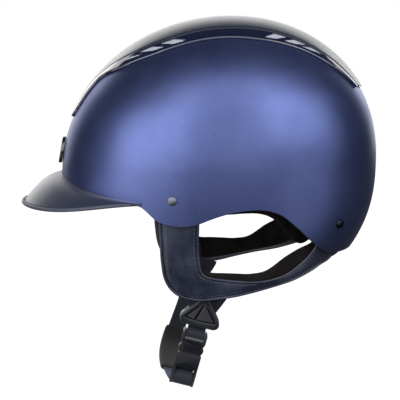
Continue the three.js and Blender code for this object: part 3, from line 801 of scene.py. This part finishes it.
def make_foam():
    angles = np.linspace(-180, 180, 180, endpoint=False)
    rims = shell_rim(np.abs(angles)) + 4
    shares = np.linspace(0.01, 1, 40)
    outer = [hull(angles, height_at(s, rims), 4.7 + 5.2 * smoothstep(s, 0.5, 0.72)) for s in shares]
    inner = [hull(angles, height_at(s, rims), foam_depth(s, angles)) for s in shares]
    foam = loft("foam_shell", [*outer, *reversed(inner)])
    finish_piece(foam, FOAM, "helmet", "foam", "foam_liner", smooth=50)


# degrees round the helmet
PAD_PANEL = 24
PAD_SEAM = 2.2
CROWN_SPOKE = 60
CROWN_SEAM = 2.5


def make_headband():
    angles = np.linspace(-180, 180, 360, endpoint=False)
    rims = shell_rim(np.abs(angles)) - pad_drop(np.abs(angles))
    seam = np.abs((angles / PAD_PANEL + 0.5) % 1 - 0.5) * PAD_PANEL
    puff = 1 - np.exp(-((seam / PAD_SEAM) ** 2))
    rings = []
    for t in full_turn(36):
        share_way = -math.cos(t)
        share = 0.83 + 0.17 * np.sign(share_way) * abs(share_way) ** 0.5
        edge = 1 - abs(share_way) ** 6
        middle = foam_depth(share, angles) + 2 + PAD_THICKNESS / 2
        swell = PAD_THICKNESS / 2 * edge**0.5 * (0.55 + 0.45 * puff)
        quilt = 1 - 0.18 * (1 + math.cos(8 * math.pi * (share - 0.66) / 0.34)) / 2
        depth = middle + np.sign(round(math.sin(t), 6)) * swell * quilt
        rings.append(hull(angles, height_at(share, rims), depth))
    band = np.array(rings).transpose(1, 0, 2)
    pad = loft("headband_padding", band, closed_path=True)
    finish_piece(pad, PILE, "helmet", "lining_fabric", "headband_pad")


def make_crown_pad():
    angles = np.linspace(-180, 180, 144, endpoint=False)
    rows = []
    middle = (CROWN_PAD_TOP + CROWN_Z) / 2
    spoke = np.abs((angles / CROWN_SPOKE) % 1 - 0.5) * CROWN_SPOKE
    seam = np.exp(-((spoke / CROWN_SEAM) ** 2))
    for depth, start, end in ((CROWN_PAD_TOP, 0.01, 0.5), (CROWN_Z, 0.46, 0.01)):
        for s in np.linspace(start, end, 22):
            puff = 1 - 0.6 * seam * smoothstep(s, 0.08, 0.2)
            ring_seam = 1 - 0.5 * math.exp(-(((s - 0.2) / 0.012) ** 2))
            sag = (depth - middle) * puff * ring_seam
            rows.append(hull(angles, height_at(s, np.full(len(angles), BELT_Z)), middle + sag))
    pad = loft("crown_padding", rows)
    finish_piece(pad, PILE, "helmet", "lining_fabric", "crown_pad")


# -------------------- leather harness
# the band's two edges as (degrees from the front, height)
HARNESS_OUTER = [
    (57, -107), (55.6, -122), (55.6, -150), (55.5, -166), (56, -181), (58.5, -191.5), (63, -197.5),
    (71, -200), (80, -198.8), (89, -196.4), (97, -193.4), (109, -189), (121, -185), (132, -179.5),
    (139, -175), (146.6, -170.5), (147, -155), (146.5, -129),
]
HARNESS_INNER = [
    (67, -107), (72.5, -122), (72.5, -150), (72.5, -160), (72.8, -168), (73.4, -173.5), (75, -177),
    (78.5, -178.9), (83, -180), (89, -181.2), (97, -182.2), (106, -181.6), (116, -177.2), (124, -168),
    (128.5, -158), (129.5, -150), (129.8, -142), (130, -129),
]
# the lining's two edges as shares from the band's outer edge to its inner one
LINING_EDGES = [
    (0.2, 1.03), (0.2, 1.03), (0.2, 1.03), (0.2, 1.05), (0.2, 1.1), (0.2, 1.15), (0.2, 1.22),
    (0.2, 1.32), (0.2, 1.48), (0.2, 1.85), (0.2, 2.15), (0.2, 1.72), (0.2, 1.2), (0.2, 1.03),
]


def dense(rows, count, start=0, end=None):
    """Smooth curve through rows of points, by row number."""
    rows = np.asarray(rows, float)
    end = len(rows) - 1 if end is None else end
    t = np.linspace(start, end, count)
    index = np.arange(len(rows))
    return np.stack([curve(np.stack([index, column], -1))(t) for column in rows.T], -1)


def band_strip(outer, inner, sign, section):
    """Rings along a band; section rows are (mm from the outer edge or minus mm from the inner, depth)."""
    depth = np.array([d for _, d in section])
    rings = []
    for (angle_a, z_a), (angle_b, z_b) in zip(outer, inner):
        width = np.linalg.norm(hull(angle_a, z_a, 5) - hull(angle_b, z_b, 5))
        across = np.array([a if a >= 0 else width + a for a, _ in section]) / width
        angle = -sign * (angle_a + (angle_b - angle_a) * across)
        rings.append(hull(angle, z_a + (z_b - z_a) * across, depth))
    return rings


def piped_section(top, back):
    """Section of a leather band with a rolled piping along each edge and a soft crown between."""
    pipe = 1.15
    centre = top + 0.45
    turns = np.radians(np.linspace(-100, 130, 12))
    half = [(pipe + 0.05 - pipe * math.cos(t), centre - pipe * math.sin(t)) for t in turns]
    half += [(2.3, top + 0.95), (2.75, top + 0.75), (3.2, top + 0.15), (3.7, top - 0.1), (4.2, top + 0.06)]
    half += [(5.0, top - 0.22), (7.5, top - 0.42)]
    return half + [(-a, d) for a, d in reversed(half)] + [(-2.4, back), (2.4, back)]


STITCH_PITCH = 3.0
STITCH_LENGTH = 2.0
STITCH_RADIUS = 0.3
STITCH_INSET = 4.2
STITCH_SIDES = 6


def stitch_row(name, outer, inner, sign, from_edge, depth):
    """Short rounded stitches along a band, at a distance in from one edge."""
    line = np.array(band_strip(outer, inner, sign, [(from_edge, depth)]))[:, 0]
    run = running_length(line, 0)
    turns = full_turn(STITCH_SIDES)
    points, faces = [], []
    for start in np.arange(STITCH_PITCH / 2, run[-1] - STITCH_PITCH / 2, STITCH_PITCH):
        stops = np.linspace(start - STITCH_LENGTH / 2, start + STITCH_LENGTH / 2, 5)
        spine = np.stack([np.interp(stops, run, line[:, k]) for k in range(3)], -1)
        out = normal_at(spine[2])
        side = unit(np.cross(unit(spine[-1] - spine[0]), out))
        base = len(points)
        for k, (p, w) in enumerate(zip(spine, (0.3, 0.85, 1, 0.85, 0.3))):
            sunk = p - out * STITCH_RADIUS * (1 - w) * 1.5
            for t in turns:
                points.append(sunk + STITCH_RADIUS * w * (math.cos(t) * side + math.sin(t) * out))
            if k:
                row = base + (k - 1) * STITCH_SIDES
                for j in range(STITCH_SIDES):
                    a, b = row + j, row + (j + 1) % STITCH_SIDES
                    faces.append((a, b, b + STITCH_SIDES, a + STITCH_SIDES))
        last = len(points) - STITCH_SIDES
        faces.append(tuple(base + j for j in reversed(range(STITCH_SIDES))))
        faces.append(tuple(last + j for j in range(STITCH_SIDES)))
    return fix_normals(make_object(name, points, faces))


def velour(name, lower, upper, sign, top, gathers, *replaced):
    """Pile strip with rounded edges between two edge lines; gathers raise or sink its back."""
    turns = full_turn(20)
    middle, half = (top + LINING[1]) / 2, (LINING[1] - top) / 2
    across = 0.5 - 0.5 * np.sign(np.cos(turns)) * np.abs(np.cos(turns)) ** 0.35
    section = middle + half * np.sign(np.sin(turns)) * np.abs(np.sin(turns)) ** 0.6
    rings = []
    for (angle_a, z_a), (angle_b, z_b), gather in zip(lower, upper, gathers):
        depth = section + np.clip(np.sin(turns), 0, 1) * gather
        angle = -sign * (angle_a + (angle_b - angle_a) * across)
        rings.append(hull(angle, z_a + (z_b - z_a) * across, depth))
    finish_piece(loft(name, rings), PILE, "helmet", "lining_fabric", *replaced, smooth=60)


def make_harness(side, sign):
    outer, inner = dense(HARNESS_OUTER, 210), dense(HARNESS_INNER, 210)
    band = loft(f"{side}_harness_band", band_strip(outer, inner, sign, piped_section(*LEATHER)))
    finish_piece(band, LEATHER_MAT, "helmet", "harness_leather", f"{side}_harness_leather", smooth=60)
    show = slice(8, 196)
    rows = [
        stitch_row(f"row_{i}", outer[show], inner[show], sign, edge, LEATHER[0] - 0.05)
        for i, edge in enumerate((STITCH_INSET, -STITCH_INSET))
    ]
    stitches = join_objects(f"{side}_harness_stitches", rows)
    finish_piece(stitches, STITCH, "helmet", "harness_leather")
    count = 200
    shares = dense(LINING_EDGES, count)
    outer = dense(HARNESS_OUTER, count, 2, 15)
    inner = dense(HARNESS_INNER, count, 2, 15)
    edges = [outer + (inner - outer) * shares[:, k, None] for k in range(2)]
    steps = np.arange(count)
    gathers = 0.12 * np.sin(0.52 * steps) + 0.1 * np.sin(0.31 * steps + 1) - 0.22
    velour(f"{side}_harness_velour", *edges, sign, LINING[0], gathers, f"{side}_harness_lining")


def make_nape():
    """The leather behind, 0.4 mm deeper than the side bands that it meets."""
    count = 90
    deeper = 0.4
    angles = np.linspace(146.2, 213.8, count)
    lift = 3.5 * np.cos(np.radians((angles - 180) * 2.8))
    low = np.stack([angles, -171 + lift], -1)
    high = np.stack([angles, np.full(count, -140.0)], -1)
    section = piped_section(LEATHER[0] + deeper, LEATHER[1] + deeper)
    band = loft("nape_band", band_strip(low, high, -1, section))
    finish_piece(band, LEATHER_MAT, "helmet", "harness_leather", "nape_leather", smooth=60)
    stitches = stitch_row("nape_stitches", low, high, -1, STITCH_INSET, LEATHER[0] + 0.35)
    finish_piece(stitches, STITCH, "helmet", "harness_leather")
    velour("nape_velour", low, high, -1, LINING[0] + deeper, np.zeros(count), "nape_lining")


# -------------------- screws
def make_screws():
    dome = [(2, -9.4), (2, 0.3), (4, 0.3), (4.05, 0.45), (4, 0.65), (3.8, 1.05)]
    dome += [(3.8 * math.cos(t), 1.05 + 1.65 * math.sin(t)) for t in np.linspace(0.2, 1.54, 9)]
    bore = [(2.3, -8.9), (4.5, -8.9), (4.6, -8.8), (4.6, -7.7), (4.5, -7.6), (2.3, -7.6)]
    for side, sign in SIDES:
        for end, *spot in SCREW_SPOTS:
            screw = turned(f"{end}_screw_{side}", sign, *spot, dome, 40)
            # painted shade: the rear screws take the darker copy of the same metal
            metal = SCREW if end == "front" else SHADED_SCREW_COPY
            finish_piece(screw, metal, "helmet", "satin_metal", f"screw_{end}_{side}", smooth=40)
            nut = turned(f"{end}_nut_{side}", sign, *spot, bore, 24, hollow=True)
            finish_piece(nut, NUT, "helmet", "satin_metal", f"nut_{end}_{side}", smooth=40)


# -------------------- webbing, dividers and buckle
def face_way(path):
    """Unit directions out of a tape whose width runs along X."""
    way = np.gradient(path, axis=0)
    way[:, 0] = 0
    way = unit(way)
    return np.stack([np.zeros(len(way)), -way[:, 2], way[:, 1]], -1)


def tape(name, path, width, thickness, edge, to_frame=in_loop):
    """Flat tape along points, with its width along X."""
    path = np.asarray(path, float)
    side = np.array((1.0, 0, 0))[None].repeat(len(path), 0)
    return tape_rings(name, path, side, face_way(path), width, thickness, edge, to_frame)


def tape_rings(name, path, side, out, width, thickness, edge, to_frame):
    """Tape with rounded edges of radius edge; side and out are its directions at each point."""
    across, up = [], []
    for k, (u, v) in enumerate(((1, 1), (-1, 1), (-1, -1), (1, -1))):
        for t in np.radians(np.linspace(0, 90, 4) + 90 * k):
            across.append(u * (width / 2 - edge) + edge * math.cos(t))
            up.append(v * (thickness / 2 - edge) + edge * math.sin(t))
        if k in (0, 2):
            for s in np.linspace(u, -u, 14)[1:-1]:
                across.append(s * (width / 2 - edge))
                up.append(v * thickness / 2)
    across, up = np.array(across)[:, None], np.array(up)[:, None]
    rings = [to_frame(p + across * s + up * o) for p, s, o in zip(path, side, out)]
    return smooth_by_angle(loft(name, rings), 50)


def leg_tape(name, path, sign, thickness, shift):
    """Tape in one leg's own plane, from (x, z) points, facing outwards."""
    count = 40
    path = dense(path, count)
    way = unit(np.gradient(path, axis=0))
    side = np.stack([-way[:, 1], np.zeros(count), way[:, 0]], -1)
    out = np.array((0, 1.0, 0))[None].repeat(count, 0)
    points = np.stack([path[:, 0], np.full(count, shift), path[:, 1]], -1)
    return tape_rings(name, points, side, out, WEBBING_WIDTH, thickness, 0.3, lambda p: in_leg(p, sign))


FORK_BRANCH = [(10.0, 5.2), (9.2, 1.5), (5.2, -9), (1.6, -18), (0, -24.4)]


def make_fork(side, sign):
    """Two branches that meet inside the divider and, on the buckle's side, a loop round its bar."""
    parts = []
    for k, way in enumerate((-1, 1)):
        branch = [(way * x, z) for x, z in FORK_BRANCH]
        parts.append(leg_tape(f"branch_{k}", branch, sign, WEBBING_THICKNESS / 2 - 0.02, way * 0.35))
    if side == "left":
        turns = np.radians(np.linspace(20, -200, 24))
        bar = -31 - BUCKLE_DROP

        def round_bar(radius):
            return [(radius * math.cos(t), bar + radius * math.sin(t)) for t in turns]

        line = [(0.35, -24.0), (0.5, -29.8), *round_bar(2.7), (-0.5, -29.8), (-0.35, -29.8)]
        for name, rows, thickness in (("bar_loop", line, 1.2), ("bar_fold", round_bar(3.5), 1.8)):
            path = [(0, y, z) for y, z in rows]
            parts.append(tape(name, path, WEBBING_WIDTH, thickness, 0.3, lambda p: in_leg(p, sign)))
    fork = join_objects(f"{side}_fork_webbing", parts)
    finish_piece(fork, WEBBING, "chin_loop", "webbing", f"{side}_strap_fork")


def chaikin(points, rounds):
    """Closed outline with its corners cut smooth."""
    points = np.asarray(points, float)
    for _ in range(rounds):
        ahead = np.roll(points, -1, 0)
        points = np.stack([0.75 * points + 0.25 * ahead, 0.25 * points + 0.75 * ahead], 1).reshape(-1, 2)
    return points


def inset(outline, distance):
    """A convex outline moved inwards by a distance, whichever way round it runs."""
    way = unit(np.roll(outline, -1, 0) - np.roll(outline, 1, 0))
    inward = np.stack([-way[:, 1], way[:, 0]], -1)
    facing = np.sign(np.sum((outline.mean(0) - outline) * inward))
    return outline + facing * inward * distance


# right half of the divider's outline, from its top corner down
DIVIDER_HALF = [
    (1.7, -0.7), (3.1, -2.2), (15, -17.6), (16.5, -20.2),
    (16.9, -22.7), (16, -25), (14.1, -26.5), (11.4, -27),
]


def facet(name, corners, place):
    """A raised facet with soft edges; corners are (x, z, y of its face)."""
    rings = [[place((x, y, z)) for x, z, y in corners], [place((x, -3.4, z)) for x, z, y in corners]]
    return smooth_by_angle(soften(loft(name, rings), 0.45, 30), 40)


def make_divider(side, sign):
    """Rounded triangle with a thick rim, a sunken face and two raised facets on it."""

    def place(p):
        return in_leg(np.asarray(p, float) * (-sign, -sign, 1), sign)

    def level(shape, distance, y):
        return place([(x, y, z) for x, z in inset(shape, distance)])

    half = np.array(DIVIDER_HALF)
    outline = chaikin(np.concatenate([[(0, -0.3)], half, half[::-1] * (-1, 1)]), 3)
    inner = chaikin([(0, -3.6), (13.2, -19.4), (13.3, -22), (-13.3, -22), (-13.2, -19.4)], 4)
    # the inner outline gets one point on the same spoke as each point of the outer one
    spokes, inner_spokes = (np.arctan2(shape[:, 1] + 18, shape[:, 0]) for shape in (outline, inner))
    columns = [np.interp(spokes, inner_spokes, column, period=2 * math.pi) for column in inner.T]
    inner = np.stack(columns, -1)
    rim = [(0.9, 3.2), (0.25, 3.0), (0, 2.4), (0, -4.1), (0.3, -4.8), (0.9, -5.15), (1.5, -5.2)]
    dish = [(-0.5, -5.15), (0, -4.9), (0.25, -4.2), (0.3, -3.9), (3, -3.85)]
    rings = [level(outline, *row) for row in rim] + [level(inner, *row) for row in dish]
    body = loft(f"{side}_divider_body", rings)
    channel = [(-27, 5), (-12, -20), (-8.4, -25), (-8.4, -30), (8.4, -30), (8.4, -25), (12, -20), (27, 5)]
    tool = loft("divider_channel", [[place((x, y, z)) for x, z in channel] for y in (-1.1, 1.1)])
    subtract(body, tool)
    smooth_by_angle(body, 40)
    near = facet("near_facet", [(-0.9, -7.2, -4.7), (-11.0, -19.9, -4.3), (-5.4, -20.9, -5.7)], place)
    far = facet("far_facet", [(1.0, -7.2, -4.7), (-2.9, -20.9, -5.6), (11.3, -20.6, -4.3)], place)
    piece = join_objects(f"{side}_divider_moulding", [body, near, far])
    finish_piece(piece, BUCKLE, f"{side}_divider", "buckle_plastic", f"{side}_strap_divider")


def make_buckle():
    for part, body, radius in (
        ("socket", "chin_loop", 0.6),
        ("plug", "chin_strap", 0.6),
        ("front_prong", "front_prong", 0.35),
        ("rear_prong", "rear_prong", 0.35),
    ):
        piece = rounded_copy(f"buckle_{part}", f"{part}_moulding", radius)
        finish_piece(piece, BUCKLE, body, "buckle_plastic", f"buckle_{part}")


def leg_point(sign, drop):
    return sign * (LEG_HALF_SPREAD - drop * math.sin(LEG_LEAN)), -drop * math.cos(LEG_LEAN)


def make_chin_strap():
    pivot = leg_point(1, STRAP_PIVOT_DROP)
    bar = leg_point(-1, LADDER_BAR_DROP + BUCKLE_DROP)
    sag = [
        (-0.5, *pivot), (-1, 71.4, -37.5), (-2.5, 66, -48.5), (-4.5, 55.5, -59), (-6.5, 41, -68),
        (-7.5, 22, -74.3), (-7, 3, -78.4), (-5.5, -16, -80.9), (-3, -35, -82.1), (-0.8, -50.5, -81.9),
        (-0.2, -58.9, -81),
    ]
    turns = np.radians((-90, -120, -150, -180, -210, -240, -270, -295))
    wrap = [(0, bar[0] + WRAP_RADIUS * math.cos(t), bar[1] + WRAP_RADIUS * math.sin(t)) for t in turns]
    wrap += [(0, bar[0] + 1.6, bar[1] + 7.4), (0, bar[0] + 0.6, bar[1] + 10.4)]
    webbing = tape("chin_tape", dense(sag + wrap, 260), WEBBING_WIDTH, WEBBING_THICKNESS, 0.4)
    finish_piece(webbing, WEBBING, "chin_strap", "webbing", "chin_webbing")
    path = dense(sag[3:8], 150)
    along = running_length(path, 0)
    ribs = 0.11 * np.cos(2 * math.pi * along / SLEEVE_RIB)
    ends = np.minimum(along, along[-1] - along)
    swell = np.clip(ends / 3, 0, 1) ** 0.5
    turns = full_turn(48)
    c, s = np.cos(turns), np.sin(turns)
    rings = []
    for p, o, rib, fat in zip(path, face_way(path), ribs, swell):
        half_width = 9.1 + 0.6 * fat
        half_thick = 1.9 + 0.7 * fat + rib
        across = np.sign(c) * np.abs(c) ** 0.4 * half_width
        up = np.sign(s) * np.abs(s) ** 0.75 * half_thick
        rings.append(in_loop(p + across[:, None] * np.array((1.0, 0, 0)) + up[:, None] * o))
    sleeve = loft("chin_sleeve_knit", rings)
    finish_piece(sleeve, SLEEVE, "chin_strap", "sleeve_fabric", "chin_sleeve")


# -------------------- studio
FLOOR_SIZE = 9000


def make_floor(z):
    steps = np.linspace(-FLOOR_SIZE / 2, FLOOR_SIZE / 2, 41)
    count = len(steps)
    points = [(x, y, z) for x in steps for y in steps]
    corners = [i * count + j for i in range(count - 1) for j in range(count - 1)]
    faces = [(a, a + count, a + count + 1, a + 1) for a in corners]
    floor = make_object("studio_floor", points, faces)
    n = Nodes("studio_floor_pale", Roughness=0.9, Specular_IOR_Level=0.0)
    n.shader.inputs["Emission Color"].default_value = (1, 1, 1, 1)
    n.shader.inputs["Emission Strength"].default_value = 0.99
    n.colour(n.mix(n.noise(n.place(), 3, 2), (0.2, 0.2, 0.202), (0.22, 0.22, 0.222)))
    floor.data.materials.append(n.material)
    floor.visible_diffuse = False
    floor.visible_glossy = False
    floor.visible_shadow = False


# (name, azimuth in degrees round from the camera's side, elevation, width and height in metres, watts)
SOFTBOXES = [
    ("front_key", -45, 15, 1.3, 1.0, 8.8),
    ("front_low", -70, -25, 0.8, 0.8, 2.6),
    ("middle", 5, 12, 0.9, 0.9, 2.2),
    ("rear_key", 48, 25, 1.3, 0.8, 6.0),
    ("rear_low", 50, -10, 1.0, 0.7, 1.4),
    ("overhead", 5, 50, 2.0, 0.7, 6.0),
    ("back_wall", 180, 16, 2.6, 1.1, 10.0),
    ("trim_front", -158, 14, 0.35, 0.6, 0.4),
    ("trim_rear", 143, 20, 0.2, 0.6, 0.5),
]
SOFTBOX_REACH = 1.4


def from_target(obj, target, azimuth, elevation, distance):
    """Stands a lamp or camera round a target, facing it; azimuth 0 is the wearer's left."""
    a, e = math.radians(azimuth), math.radians(elevation)
    back = Vector((math.sin(a) * math.cos(e), -math.cos(a) * math.cos(e), math.sin(e)))
    obj.location = target + back * distance
    obj.rotation_euler = (-back).to_track_quat("-Z", "Y").to_euler()


def make_studio():
    world = bpy.data.worlds.new("studio")
    world.use_nodes = True
    bpy.context.scene.world = world
    tree = world.node_tree
    back = tree.nodes["Background"]
    seen = tree.nodes.new("ShaderNodeBackground")
    for node, strength in ((back, 0.03), (seen, 1.0)):
        node.inputs["Color"].default_value = (1, 1, 1, 1)
        node.inputs["Strength"].default_value = strength
    path = tree.nodes.new("ShaderNodeLightPath")
    mix = tree.nodes.new("ShaderNodeMixShader")
    tree.links.new(path.outputs["Is Camera Ray"], mix.inputs[0])
    tree.links.new(back.outputs[0], mix.inputs[1])
    tree.links.new(seen.outputs[0], mix.inputs[2])
    tree.links.new(mix.outputs[0], tree.nodes["World Output"].inputs["Surface"])
    bpy.context.scene.view_settings.view_transform = "Standard"
    middle = Vector((0, 0, -0.1))
    for name, azimuth, elevation, width, height, power in SOFTBOXES:
        data = bpy.data.lights.new(name, "AREA")
        data.shape = "RECTANGLE"
        data.size, data.size_y = width, height
        data.energy = power
        from_target(add_object(name, data), middle, azimuth, elevation, SOFTBOX_REACH)


CAMERA_DISTANCE = 1.5
# metres across the 400-pixel frame at the target
FRAME_WIDTH = 0.344


def make_camera():
    target = Vector((-25.8, 0, -126.81)) * MM
    data = bpy.data.cameras.new("camera")
    camera = add_object("camera", data)
    from_target(camera, target, -3, 8, CAMERA_DISTANCE)
    data.sensor_width = 36
    data.lens = data.sensor_width * CAMERA_DISTANCE / FRAME_WIDTH
    data.clip_end = 50
    bpy.context.scene.camera = camera


# -------------------- build
make_camera()
make_shell()
make_crown_panel()
make_peak()
make_bead()
make_badge()
make_foam()
make_headband()
make_crown_pad()
make_nape()
make_screws()
for side, sign in SIDES:
    make_trim(side, sign)
    make_vent_blades(side, sign)
    make_harness(side, sign)
    make_fork(side, sign)
    make_divider(side, sign)
make_buckle()
make_chin_strap()
make_floor(cad_box[0][2] / MM - 0.5)
make_studio()
